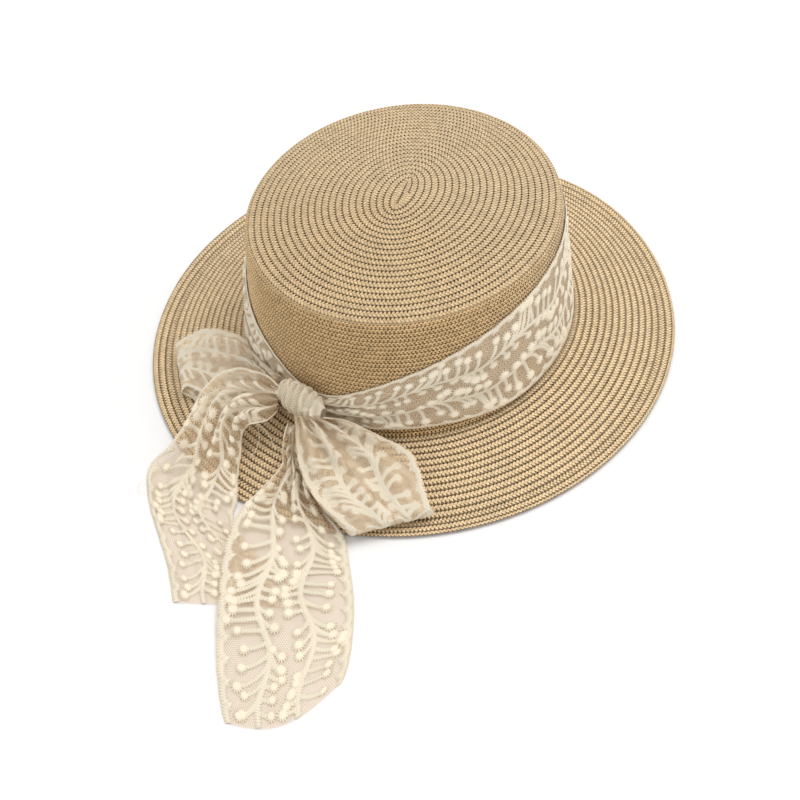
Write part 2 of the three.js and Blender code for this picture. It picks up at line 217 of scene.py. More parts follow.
class StrawSettings(bpy.types.PropertyGroup):
    """Sizes and colours of the straw braid."""

    row_pitch: FloatProperty(
        name="Row pitch",
        description="Width of one row of the sewn braid",
        default=3.72 * MM,
        unit="LENGTH",
    )
    side_pitch: FloatProperty(
        name="Side row pitch",
        description="Width of one row on the side of the crown",
        default=2.8 * MM,
        unit="LENGTH",
    )
    stitch_length: FloatProperty(
        name="Stitch length",
        description="Length of one plait stitch along a row",
        default=2.1 * MM,
        unit="LENGTH",
    )
    row_bulge: FloatProperty(
        name="Row bulge",
        description="How far the middle of a row stands above its edges",
        default=0.65 * MM,
        unit="LENGTH",
    )
    stitch_relief: FloatProperty(
        name="Stitch relief",
        description="Height of the plaited strands on a row",
        default=0.4 * MM,
        unit="LENGTH",
    )
    light_colour: FloatVectorProperty(
        name="Straw",
        description="Colour of the strands",
        default=(0.745, 0.57, 0.352),
        subtype="COLOR",
    )
    # Painted warm bounce light: this deeper colour stands for warm light thrown back into the shade on the
    # front of the hat.
    warm_bounce_colour: FloatVectorProperty(
        name="Warm straw",
        description="Deeper colour that the strands take at the front",
        default=(0.80, 0.545, 0.27),
        subtype="COLOR",
    )
    # Painted shade: this dark colour stands for the shaded inside seen through the holes and the shade down
    # in the gaps between strands.
    gap_shade_colour: FloatVectorProperty(
        name="Gaps",
        description="Colour of the holes and of the gaps between strands",
        default=(0.08, 0.038, 0.012),
        subtype="COLOR",
    )


class LaceSettings(bpy.types.PropertyGroup):
    """Sizes and colours of the lace ribbon."""

    ribbon_width: FloatProperty(
        name="Ribbon width",
        description="Flat width of the lace ribbon",
        default=65 * MM,
        unit="LENGTH",
    )
    net_cell: FloatProperty(
        name="Net cell",
        description="Spacing of the holes in the net",
        default=1.15 * MM,
        unit="LENGTH",
    )
    scallop_pitch: FloatProperty(
        name="Scallop pitch",
        description="Length of one scallop along the ribbon's edge",
        default=11 * MM,
        unit="LENGTH",
    )
    branch_pitch: FloatProperty(
        name="Branch pitch",
        description="Spacing of the side branches along a stem",
        default=5.7 * MM,
        unit="LENGTH",
    )
    berry_spikes: IntProperty(
        name="Berry spikes",
        description="Stitches round one berry",
        default=12,
        min=6,
    )
    net_colour: FloatVectorProperty(
        name="Net",
        description="Colour of the net's threads",
        default=(0.79, 0.58, 0.37),
        subtype="COLOR",
    )
    thread_colour: FloatVectorProperty(
        name="Embroidery",
        description="Colour of the embroidery thread",
        default=(0.90, 0.805, 0.635),
        subtype="COLOR",
    )


class StageSettings(bpy.types.PropertyGroup):
    """Floor and light."""

    floor_colour: FloatVectorProperty(
        name="Floor",
        description="Colour of the floor",
        default=(0.88, 0.88, 0.88),
        subtype="COLOR",
    )
    key_power: FloatProperty(
        name="Key light",
        description="Power of the large light overhead",
        default=13.0,
        unit="POWER",
    )
    sky_strength: FloatProperty(
        name="Sky",
        description="Strength of the even light all round",
        default=0.8,
    )


# Geometry of the hat


def smooth(t):
    """Eased share from 0 to 1."""
    t = np.clip(t, 0.0, 1.0)
    return t * t * (3 - 2 * t)


def on_hat(angle, out, height):
    """Points on the oval of the crown's foot grown by out, in metres."""
    x = (CROWN_HALF_WIDTH + out) * np.cos(angle)
    y = (CROWN_HALF_LENGTH + out) * np.sin(angle)
    return in_frame(np.stack(np.broadcast_arrays(x, y, height), -1))


def in_frame(points):
    """Hat millimetres to metres in the shared frame."""
    return np.asarray(points, float) * MM + np.array([HAT_CENTRE.x, HAT_CENTRE.y, 0.0])


OUT_LIMIT = 260.0
OUT_HALVINGS = 40


def out_of(x, y):
    """How far plan points stand out from the foot of the crown, by halving."""
    low = np.full(np.shape(x), 1.0 - CROWN_HALF_WIDTH)
    high = np.full(np.shape(x), OUT_LIMIT)
    for _ in range(OUT_HALVINGS):
        middle = (low + high) / 2
        beyond = np.hypot(x / (CROWN_HALF_WIDTH + middle), y / (CROWN_HALF_LENGTH + middle)) > 1
        low = np.where(beyond, middle, low)
        high = np.where(beyond, high, middle)
    return low


def top_height(out):
    """Height of the crown's domed top."""
    share = (CROWN_HALF_WIDTH + out) / (CROWN_HALF_WIDTH - CROWN_RIM_INSET)
    return CROWN_RIM_HEIGHT + TOP_DOME * (1 - share * share)


def brim_lift(angle, out):
    """Rise of the brim's rear right off the floor."""
    off = np.abs((np.degrees(angle) - BRIM_LIFT_DIRECTION + 180) % 360 - 180)
    near = smooth(1 - off / BRIM_LIFT_SPREAD)
    return BRIM_LIFT_RISE * near * np.square(np.maximum(out, 0) / BRIM_WIDTH)


class HatProfile:
    """The hat's outer face as one line from the middle of the top to the brim's edge."""

    STEP = 0.25
    EASE = 9
    TOP_POINTS = 80

    def __init__(self):
        outs = np.linspace(-CROWN_HALF_WIDTH, -CROWN_RIM_INSET, self.TOP_POINTS)
        tops = list(zip(outs, top_height(outs)))
        rows = np.array(tops + CROWN_EDGE + CROWN_SIDE + BRIM_FOOT + BRIM_TOP)
        along = self.lengths(rows)
        self.rim = along[len(tops) + 1]
        self.foot = along[len(tops) + len(CROWN_EDGE) + len(CROWN_SIDE)]
        self.end = along[-1]
        even = np.arange(0.0, self.end, self.STEP)
        line = np.stack([np.interp(even, along, rows[:, k]) for k in (0, 1)], -1)
        padded = np.pad(line, ((self.EASE, self.EASE), (0, 0)), "reflect", reflect_type="odd")
        weights = np.hanning(2 * self.EASE + 3)[1:-1]
        weights /= weights.sum()
        self.line = np.stack([np.convolve(padded[:, k], weights, "valid") for k in (0, 1)], -1)
        self.run = even
        slope = np.gradient(self.line, self.STEP, axis=0)
        slope /= np.linalg.norm(slope, axis=1, keepdims=True)
        self.normal = np.stack([-slope[:, 1], slope[:, 0]], -1)

    @staticmethod
    def lengths(rows):
        """Distance along a line at each of its points."""
        steps = np.linalg.norm(np.diff(rows, axis=0), axis=1)
        return np.concatenate([[0.0], np.cumsum(steps)])

    def at(self, run, values):
        return np.interp(run, self.run, values)

    def place(self, angle, run, rise):
        """Points in metres at an angle and a run along the profile, raised off the face."""
        out = self.at(run, self.line[:, 0])
        height = self.at(run, self.line[:, 1])
        half_width = CROWN_HALF_WIDTH + out
        half_length = CROWN_HALF_LENGTH + out
        outward = np.stack([np.cos(angle) * half_length, np.sin(angle) * half_width], -1)
        outward /= np.maximum(np.linalg.norm(outward, axis=-1, keepdims=True), TINY)
        side = self.at(run, self.normal[:, 0]) * rise
        lift = self.at(run, self.normal[:, 1]) * rise
        points = np.stack(
            [
                half_width * np.cos(angle) + outward[..., 0] * side,
                half_length * np.sin(angle) + outward[..., 1] * side,
                height + lift + brim_lift(angle, out),
            ],
            -1,
        )
        return in_frame(points)


PROFILE = HatProfile()


# Mesh helpers


def grid_object(name, points):
    """An object whose mesh is a grid of points."""
    rows, columns = points.shape[:2]
    bm = bmesh.new()
    bmesh.ops.create_grid(bm, x_segments=columns - 1, y_segments=rows - 1, size=1.0)
    mesh = bpy.data.meshes.new(name)
    bm.to_mesh(mesh)
    bm.free()
    mesh.vertices.foreach_set("co", points.reshape(-1, 3).astype(np.float32).ravel())
    obj = bpy.data.objects.new(name, mesh)
    bpy.context.scene.collection.objects.link(obj)
    mesh.polygons.foreach_set("use_smooth", np.ones(len(mesh.polygons), bool))
    mesh.update()
    return obj


MERGE_DISTANCE = 1e-7


def close_grid(mesh):
    """Merges the first and last columns of a strip and turns its faces outward."""
    bm = bmesh.new()
    bm.from_mesh(mesh)
    bmesh.ops.remove_doubles(bm, verts=bm.verts, dist=MERGE_DISTANCE)
    bmesh.ops.holes_fill(bm, edges=[e for e in bm.edges if e.is_boundary], sides=0)
    bmesh.ops.recalc_face_normals(bm, faces=bm.faces)
    bm.to_mesh(mesh)
    bm.free()


def store(mesh, name, values):
    """Keeps one number for each vertex under a name that materials read."""
    layer = mesh.attributes.new(name, "FLOAT", "POINT")
    layer.data.foreach_set("value", np.asarray(values, np.float32).ravel())


def take_on(obj, nodes, material):
    """Ties a finished piece to the frame and gives it its material."""
    obj.data.materials.append(material)
    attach(obj, "root")
    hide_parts(*nodes)


# Straw braid


class Sewing(NamedTuple):
    """How one straw piece is sewn."""

    columns: int  # mesh points across a row
    steps: int  # mesh steps along a stitch
    hole_size: float  # size of the holes along the seams
    middle_hole: float  # size of the holes along the middle of a row
    relief: float  # depth of the seams
    closing: float  # share by which the holes close towards the back
    tone: float  # brightness of the straw
    warm_bounce: float  # share of the painted warm bounce light at the front


TOP_SEWING = Sewing(
    columns=6, steps=4, hole_size=1.65, middle_hole=0.0, relief=1.0, closing=0.3, tone=0.88, warm_bounce=0.3
)
SIDE_SEWING = Sewing(
    columns=4, steps=3, hole_size=1.1, middle_hole=1.1, relief=0.4, closing=0.0, tone=1.0, warm_bounce=0.9
)
BRIM_SEWING = Sewing(
    columns=4, steps=4, hole_size=0.75, middle_hole=0.0, relief=0.35, closing=0.7, tone=1.11, warm_bounce=0.1
)
BRIM_PITCH_SHARE = 1.03
CLOSING_RATE = 1.5
SPIRAL_STEPS = 720

# A row is a little wider than its pitch and is sunk into the hat's outer face.
ROW_SPREAD = 1.04
ROW_SINK = 0.85
# How far a row may pass the ends of its piece, and its least width where it tapers.
ROW_OVERLAP = 0.08
ROW_LEAST = 0.3
# A row falls off toward its edges, less on the outer one, and its strands flatten there.
EDGE_POWER = 2.4
OUTER_DIP = 0.2
EDGE_FLATTENING = 0.4
# The strands of a row's two halves slant back from its middle, half a strand apart.
STRAND_SLANT = 0.55
STRAND_OFFSET = 0.25
# The first turn of the top starts beside the middle, reaches into it and has no seam there.
MIDDLE_START = 0.3
MIDDLE_INSET = 0.02
MIDDLE_LOW = -0.3
MIDDLE_ACROSS = -0.5


def braid_line(first, last, pitch, spacing, from_middle):
    """Angles and distances of even points along a spiral row of braid, and the row's two edges there."""
    wait = 0.0 if from_middle else 1.0
    start = MIDDLE_START * pitch if from_middle else first + pitch / 2
    high = last - pitch / 2
    turns = (high - start) / pitch + wait + 1.0
    angle = np.linspace(0.0, TURN * turns, int(turns * SPIRAL_STEPS))
    run = np.clip(start + pitch * (angle / TURN - wait), start, high)
    along = HatProfile.lengths(PROFILE.place(angle, run, 0.0) / MM)
    even = np.arange(0.0, along[-1], spacing)
    angle = np.interp(even, along, angle)
    middle = start + pitch * (angle / TURN - wait)
    half = pitch / 2 * ROW_SPREAD
    outer = np.clip(middle + half, first - ROW_OVERLAP + ROW_LEAST, last + ROW_OVERLAP)
    inner = np.clip(middle - half, first - ROW_OVERLAP, last + ROW_OVERLAP - ROW_LEAST)
    if from_middle:
        inner = np.where(angle < TURN, MIDDLE_INSET, inner)
    return angle, even, inner, outer


def braid_piece(name, first, last, settings, pitch, sewing, from_middle=False):
    """One piece of the hat as a single spiral row of plaited braid, tapered at its ends."""
    stitch = settings.stitch_length / MM
    angle, along, inner, outer = braid_line(first, last, pitch, stitch / sewing.steps, from_middle)
    grid = np.zeros((len(angle), sewing.columns))
    across = np.linspace(-1.0, 1.0, sewing.columns) + grid
    stitches = along[:, None] / stitch + grid
    back = 0.5 + 0.5 * np.sin(angle[:, None]) + grid
    away = smooth(np.minimum(CLOSING_RATE * back, 1.0))
    opening = 1 - sewing.closing * away
    phase = stitches + STRAND_OFFSET * np.sign(across) - STRAND_SLANT * np.abs(across)
    lump = 0.5 + 0.5 * np.cos(TURN * phase)
    edge = np.abs(across) ** EDGE_POWER
    hole = np.where(across < 0, 0.5 + 0.5 * np.cos(TURN * stitches), 0.0)
    dip = edge * (OUTER_DIP + (1 - OUTER_DIP) * hole) * sewing.relief * opening
    bulge = settings.row_bulge / MM * (1 - dip)
    relief = settings.stitch_relief / MM * lump * (1 - EDGE_FLATTENING * edge)
    rise = bulge + relief - ROW_SINK
    middle_turn = np.logical_and(from_middle, angle[:, None] < TURN) & (across < 0)
    rise = np.where(middle_turn, np.maximum(rise, MIDDLE_LOW), rise)
    runs = inner[:, None] + (outer - inner)[:, None] * (across + 1) / 2
    points = PROFILE.place(angle[:, None], runs, rise)
    across = np.where(middle_turn, np.maximum(across, MIDDLE_ACROSS), across)
    obj = grid_object(name, np.concatenate([points, points[:, :1]], 1))
    for label, values in (
        ("braid_along", stitches),
        ("braid_across", across),
        ("braid_hole", sewing.hole_size * opening),
        ("braid_middle_hole", sewing.middle_hole + grid),
        ("braid_tone", sewing.tone + grid),
        ("braid_warm_bounce", sewing.warm_bounce * (1 - away)),
    ):
        store(obj.data, label, np.concatenate([values, values[:, :1]], 1))
    close_grid(obj.data)
    return obj


# Materials


def new_material(name):
    """A material with its node tree and its shader."""
    material = bpy.data.materials.new(name)
    material.use_nodes = True
    return material, material.node_tree, material.node_tree.nodes["Principled BSDF"]


def attribute_node(tree, name):
    """The number that a mesh keeps under a name."""
    node = tree.nodes.new("ShaderNodeAttribute")
    node.attribute_name = name
    return node.outputs["Fac"]


def math_node(tree, operation, first, second=None, third=None):
    """A math node whose inputs are sockets or plain numbers."""
    node = tree.nodes.new("ShaderNodeMath")
    node.operation = operation
    for socket, value in zip(node.inputs, (first, second, third)):
        if value is None:
            continue
        if isinstance(value, (int, float)):
            socket.default_value = value
        else:
            tree.links.new(value, socket)
    return node.outputs[0]


def mix_colour(tree, factor, first, second):
    """A colour mix whose inputs are sockets or plain values."""
    node = tree.nodes.new("ShaderNodeMix")
    node.data_type = "RGBA"
    sockets = (node.inputs["Factor"], node.inputs[6], node.inputs[7])
    for socket, value in zip(sockets, (factor, first, second)):
        if isinstance(value, bpy.types.NodeSocket):
            tree.links.new(value, socket)
        else:
            socket.default_value = value
    return node.outputs[2]


def rgba(colour, gain=1.0):
    """A colour with a full alpha, made lighter or darker by a gain."""
    return (colour[0] * gain, colour[1] * gain, colour[2] * gain, 1.0)


def fibre_group():
    """Fine fibres and soft blotches over straw and thread."""
    name = "fibre_variation"
    if name in bpy.data.node_groups:
        return bpy.data.node_groups[name]
    group = bpy.data.node_groups.new(name, "ShaderNodeTree")
    group.interface.new_socket("Fibre Scale", in_out="INPUT", socket_type="NodeSocketFloat")
    group.interface.new_socket("Blotch Scale", in_out="INPUT", socket_type="NodeSocketFloat")
    group.interface.new_socket("Fibre", in_out="OUTPUT", socket_type="NodeSocketFloat")
    group.interface.new_socket("Blotch", in_out="OUTPUT", socket_type="NodeSocketFloat")
    start = group.nodes.new("NodeGroupInput")
    end = group.nodes.new("NodeGroupOutput")
    place = group.nodes.new("ShaderNodeTexCoord")
    for output, scale in (("Fibre", "Fibre Scale"), ("Blotch", "Blotch Scale")):
        noise = group.nodes.new("ShaderNodeTexNoise")
        noise.inputs["Detail"].default_value = 3.0
        group.links.new(place.outputs["Object"], noise.inputs["Vector"])
        group.links.new(start.outputs[scale], noise.inputs["Scale"])
        group.links.new(noise.outputs["Fac"], end.inputs[output])
    return group


def add_group(tree, group, **values):
    """A node of a group, with values for its inputs."""
    node = tree.nodes.new("ShaderNodeGroup")
    node.node_tree = group
    for name, value in values.items():
        node.inputs[name.replace("_", " ").title()].default_value = value
    return node


# Holes in the braid, in half widths of a row: where they lie, their reach and their soft edge.
SEAM_HOLE_PLACE = -0.8
MIDDLE_HOLE_PLACE = 0.2
HOLE_REACH = 0.34
HOLE_LEAST = 0.03
HOLE_EASE = 0.08
# The smallest hole's share of that reach, and how far single holes go beyond it.
HOLE_SMALLEST = 0.6
HOLE_SIZE_RANGE = 0.9


def hole_row(group, along, across, place, size):
    """Holes in a row, one to a stitch and of uneven size, as a mask for their painted shade."""
    beat = math_node(group, "COSINE", math_node(group, "MULTIPLY", along, TURN))
    off = math_node(group, "ABSOLUTE", math_node(group, "SUBTRACT", across, place))
    toss = group.nodes.new("ShaderNodeTexWhiteNoise")
    toss.noise_dimensions = "1D"
    group.links.new(math_node(group, "FLOOR", math_node(group, "ADD", along, 0.5)), toss.inputs["W"])
    uneven = math_node(group, "MULTIPLY_ADD", toss.outputs["Value"], HOLE_SIZE_RANGE, HOLE_SMALLEST)
    reach = math_node(group, "MULTIPLY_ADD", beat, HOLE_REACH, HOLE_LEAST)
    reach = math_node(group, "MULTIPLY", reach, size)
    reach = math_node(group, "MULTIPLY", reach, uneven)
    reach = math_node(group, "SUBTRACT", reach, HOLE_EASE)
    return ease_node(group, math_node(group, "SUBTRACT", reach, off), -HOLE_EASE, HOLE_EASE)


def braid_group():
    """Plait of a braid row: its strands, its rows of holes and a number for each strand."""
    name = "braid_plait"
    if name in bpy.data.node_groups:
        return bpy.data.node_groups[name]
    group = bpy.data.node_groups.new(name, "ShaderNodeTree")
    for label in ("Along", "Across", "Hole Size", "Middle Hole Size"):
        group.interface.new_socket(label, in_out="INPUT", socket_type="NodeSocketFloat")
    for label in ("Strand", "Hole", "Number"):
        group.interface.new_socket(label, in_out="OUTPUT", socket_type="NodeSocketFloat")
    start = group.nodes.new("NodeGroupInput")
    end = group.nodes.new("NodeGroupOutput")
    along = start.outputs["Along"]
    across = start.outputs["Across"]
    off = math_node(group, "ABSOLUTE", across)
    half = math_node(group, "MULTIPLY_ADD", math_node(group, "SIGN", across), STRAND_OFFSET, along)
    phase = math_node(group, "MULTIPLY_ADD", off, -STRAND_SLANT, half)
    wave = math_node(group, "COSINE", math_node(group, "MULTIPLY", phase, TURN))
    strand = ease_node(group, wave, -1.0, -0.1)
    middle = ease_node(group, off, 0.0, 0.2)
    strand = math_node(group, "MULTIPLY", strand, math_node(group, "MULTIPLY_ADD", middle, 0.3, 0.7))
    group.links.new(strand, end.inputs["Strand"])
    hole = hole_row(group, along, across, SEAM_HOLE_PLACE, start.outputs["Hole Size"])
    later = math_node(group, "ADD", along, 0.5)
    between = hole_row(group, later, across, MIDDLE_HOLE_PLACE, start.outputs["Middle Hole Size"])
    hole = math_node(group, "MAXIMUM", hole, between)
    group.links.new(hole, end.inputs["Hole"])
    whole = math_node(group, "FLOOR", math_node(group, "ADD", phase, 0.5))
    side = math_node(group, "MULTIPLY_ADD", math_node(group, "SIGN", across), 0.31, whole)
    group.links.new(side, end.inputs["Number"])
    return group


def ease_node(tree, value, low, high):
    """Eased share of a value between two limits."""
    node = tree.nodes.new("ShaderNodeMapRange")
    node.interpolation_type = "SMOOTHSTEP"
    node.inputs["From Min"].default_value = low
    node.inputs["From Max"].default_value = high
    tree.links.new(value, node.inputs["Value"])
    return node.outputs["Result"]


def scale_colour(tree, colour, factor):
    """A colour made lighter or darker by a socket's value."""
    node = tree.nodes.new("ShaderNodeVectorMath")
    node.operation = "SCALE"
    tree.links.new(colour, node.inputs[0])
    tree.links.new(factor, node.inputs["Scale"])
    return node.outputs[0]


# Brightness of the straw: spread from stitch to stitch, in the fibres and in soft blotches.
STITCH_SPREAD = 0.24
FIBRE_SPREAD = 0.3
BLOTCH_SPREAD = 0.2
# Painted shade: how much darker the gaps between strands and the seams are.
STRAND_SHADE = 0.55
SEAM_SHADE = 0.08


def straw_material(settings):
    """Matte paper straw: light strands, painted shade in the holes, the gaps between strands and the seams,
    each stitch a little different.
    """
    name = "plaited_paper_straw"
    if name in bpy.data.materials:
        return bpy.data.materials[name]
    material, tree, shader = new_material(name)
    plait = add_group(tree, braid_group())
    for label, attribute in (
        ("Along", "braid_along"),
        ("Across", "braid_across"),
        ("Hole Size", "braid_hole"),
        ("Middle Hole Size", "braid_middle_hole"),
    ):
        tree.links.new(attribute_node(tree, attribute), plait.inputs[label])
    across = math_node(tree, "ABSOLUTE", attribute_node(tree, "braid_across"))
    fibre = add_group(tree, fibre_group(), fibre_scale=2600.0, blotch_scale=26.0)
    toss = tree.nodes.new("ShaderNodeTexWhiteNoise")
    toss.noise_dimensions = "1D"
    tree.links.new(plait.outputs["Number"], toss.inputs["W"])
    lit = 1.0
    for value, spread in (
        (toss.outputs["Value"], STITCH_SPREAD),
        (fibre.outputs["Fibre"], FIBRE_SPREAD),
        (fibre.outputs["Blotch"], BLOTCH_SPREAD),
    ):
        lit = math_node(tree, "MULTIPLY_ADD", value, spread, math_node(tree, "SUBTRACT", lit, spread / 2))
    # Painted shade: the gaps between strands, the seams between rows and the holes are mixed toward the dark
    # gap colour.
    seam = ease_node(tree, across, 0.7, 1.0)
    shade = math_node(tree, "MULTIPLY_ADD", plait.outputs["Strand"], STRAND_SHADE, 1.0 - STRAND_SHADE)
    shade = math_node(tree, "MULTIPLY", shade, math_node(tree, "MULTIPLY_ADD", seam, -SEAM_SHADE, 1.0))
    shade = math_node(tree, "MULTIPLY", shade, math_node(tree, "SUBTRACT", 1.0, plait.outputs["Hole"]))
    # Painted warm bounce light: towards the front the straw is mixed toward a warmer, deeper colour.
    warm_bounce = attribute_node(tree, "braid_warm_bounce")
    straw = mix_colour(tree, warm_bounce, rgba(settings.light_colour), rgba(settings.warm_bounce_colour))
    body = mix_colour(tree, shade, rgba(settings.gap_shade_colour), straw)
    lit = math_node(tree, "MULTIPLY", lit, attribute_node(tree, "braid_tone"))
    tree.links.new(scale_colour(tree, body, lit), shader.inputs["Base Color"])
    rough = math_node(tree, "MULTIPLY_ADD", fibre.outputs["Fibre"], 0.25, 0.6)
    tree.links.new(rough, shader.inputs["Roughness"])
    height = math_node(tree, "MULTIPLY_ADD", fibre.outputs["Fibre"], 0.15, shade)
    bump = tree.nodes.new("ShaderNodeBump")
    bump.inputs["Strength"].default_value = 0.5
    bump.inputs["Distance"].default_value = 0.0004
    tree.links.new(height, bump.inputs["Height"])
    tree.links.new(bump.outputs["Normal"], shader.inputs["Normal"])
    shader.inputs["Specular IOR Level"].default_value = 0.15
    return material


def net_group():
    """Six-sided net: 1 on the threads and 0 in the holes, from places along and across the ribbon."""
    name = "lace_net"
    if name in bpy.data.node_groups:
        return bpy.data.node_groups[name]
    group = bpy.data.node_groups.new(name, "ShaderNodeTree")
    for label in ("Along", "Across", "Cell"):
        group.interface.new_socket(label, in_out="INPUT", socket_type="NodeSocketFloat")
    group.interface.new_socket("Net", in_out="OUTPUT", socket_type="NodeSocketFloat")
    start = group.nodes.new("NodeGroupInput")
    end = group.nodes.new("NodeGroupOutput")
    total = None
    for direction in (0.0, 60.0, 120.0):
        turn = math.radians(direction)
        along = math_node(group, "MULTIPLY", start.outputs["Along"], math.cos(turn))
        place = math_node(group, "MULTIPLY_ADD", start.outputs["Across"], math.sin(turn), along)
        phase = math_node(group, "DIVIDE", place, start.outputs["Cell"])
        wave = math_node(group, "COSINE", math_node(group, "MULTIPLY", phase, TURN * 2 / math.sqrt(3)))
        total = wave if total is None else math_node(group, "ADD", total, wave)
    group.links.new(ease_node(group, total, 0.7, -1.2), end.inputs["Net"])
    return group


# The net: what shows through a hole, what its threads take of that, and how layers and blotches pale it.
HOLE_CLEARNESS = 0.9
THREAD_COVER = 0.6
LAYER_PALENESS = 0.45
BLOTCH_PALENESS = 0.3


def net_material(settings):
    """Fine see-through net of the lace ribbon."""
    name = "lace_net"
    if name in bpy.data.materials:
        return bpy.data.materials[name]
    material, tree, shader = new_material(name)
    net = add_group(tree, net_group(), cell=settings.net_cell / MM)
    tree.links.new(attribute_node(tree, "ribbon_along"), net.inputs["Along"])
    tree.links.new(attribute_node(tree, "ribbon_across"), net.inputs["Across"])
    fibre = add_group(tree, fibre_group(), fibre_scale=3000.0, blotch_scale=60.0)
    more = math_node(tree, "SUBTRACT", attribute_node(tree, "ribbon_layers"), 1.0)
    pale = math_node(tree, "MULTIPLY", more, LAYER_PALENESS)
    pale = math_node(tree, "MULTIPLY_ADD", fibre.outputs["Blotch"], BLOTCH_PALENESS, pale)
    colour = mix_colour(tree, pale, rgba(settings.net_colour), rgba(settings.thread_colour))
    tree.links.new(colour, shader.inputs["Base Color"])
    clear = math_node(tree, "MULTIPLY_ADD", net.outputs["Net"], -THREAD_COVER, HOLE_CLEARNESS)
    clear = math_node(tree, "POWER", clear, attribute_node(tree, "ribbon_layers"))
    tree.links.new(math_node(tree, "SUBTRACT", 1.0, clear), shader.inputs["Alpha"])
    shader.inputs["Roughness"].default_value = 0.8
    return material


# Brightness of the embroidery between its stitches and on them, from painted shade and painted light.
THREAD_LOW_GAIN = 0.68
THREAD_HIGH_GAIN = 1.06


def thread_material(settings):
    """Satin-stitched embroidery thread, with painted light on its stitches and painted shade between and
    beside them.
    """
    name = "lace_embroidery"
    if name in bpy.data.materials:
        return bpy.data.materials[name]
    material, tree, shader = new_material(name)
    ridge = attribute_node(tree, "stitch_painted_light")
    fibre = add_group(tree, fibre_group(), fibre_scale=2200.0, blotch_scale=45.0)
    # Painted light and shade from the stitches, mixed with random blotches of tone.
    shade = math_node(tree, "MULTIPLY", math_node(tree, "ADD", fibre.outputs["Blotch"], ridge), 0.5)
    low = rgba(settings.thread_colour, THREAD_LOW_GAIN)
    high = rgba(settings.thread_colour, THREAD_HIGH_GAIN)
    colour = mix_colour(tree, shade, low, high)
    tree.links.new(colour, shader.inputs["Base Color"])
    rough = math_node(tree, "MULTIPLY_ADD", fibre.outputs["Fibre"], 0.3, 0.45)
    tree.links.new(rough, shader.inputs["Roughness"])
    bump = tree.nodes.new("ShaderNodeBump")
    bump.inputs["Strength"].default_value = 0.3
    bump.inputs["Distance"].default_value = 0.0002
    tree.links.new(fibre.outputs["Fibre"], bump.inputs["Height"])
    tree.links.new(bump.outputs["Normal"], shader.inputs["Normal"])
    shader.inputs["Sheen Weight"].default_value = 0.2
    return material


# Lace ribbon


class LaceSheet:
    """A ribbon's surface: a grid of points in metres, with its flat length and width in millimetres."""

    def __init__(self, points, length, width):
        self.points = points
        self.length = length
        self.width = width
        along = np.gradient(points, axis=0)
        across = np.gradient(points, axis=1)
        normal = np.cross(along, across)
        self.normals = normal / np.maximum(np.linalg.norm(normal, axis=-1, keepdims=True), TINY * MM)

    def sample(self, grid, along, across):
        """Values of a grid at flat places, between its four nearest points."""
        rows, columns = grid.shape[:2]
        i = np.clip(np.asarray(along) / self.length, 0, 1) * (rows - 1)
        j = np.clip(np.asarray(across) / self.width, 0, 1) * (columns - 1)
        i0 = np.minimum(i.astype(int), rows - 2)
        j0 = np.minimum(j.astype(int), columns - 2)
        u = (i - i0)[..., None]
        v = (j - j0)[..., None]
        near = grid[i0, j0] * (1 - v) + grid[i0, j0 + 1] * v
        far = grid[i0 + 1, j0] * (1 - v) + grid[i0 + 1, j0 + 1] * v
        return near * (1 - u) + far * u

    def place(self, along, across, rise):
        """Points in metres at flat places, raised off the sheet by rise in millimetres."""
        base = self.sample(self.points, along, across)
        return base + self.sample(self.normals, along, across) * np.asarray(rise)[..., None] * MM


def net_object(name, sheet, layers):
    """The net of a ribbon as one curved sheet, that looks as dense as some layers of it."""
    obj = grid_object(name, sheet.points)
    rows, columns = sheet.points.shape[:2]
    along = np.linspace(0, sheet.length, rows)[:, None] + np.zeros((rows, columns))
    across = np.linspace(0, sheet.width, columns)[None, :] + np.zeros((rows, columns))
    store(obj.data, "ribbon_along", along)
    store(obj.data, "ribbon_across", across)
    store(obj.data, "ribbon_layers", np.full((rows, columns), layers))
    return obj


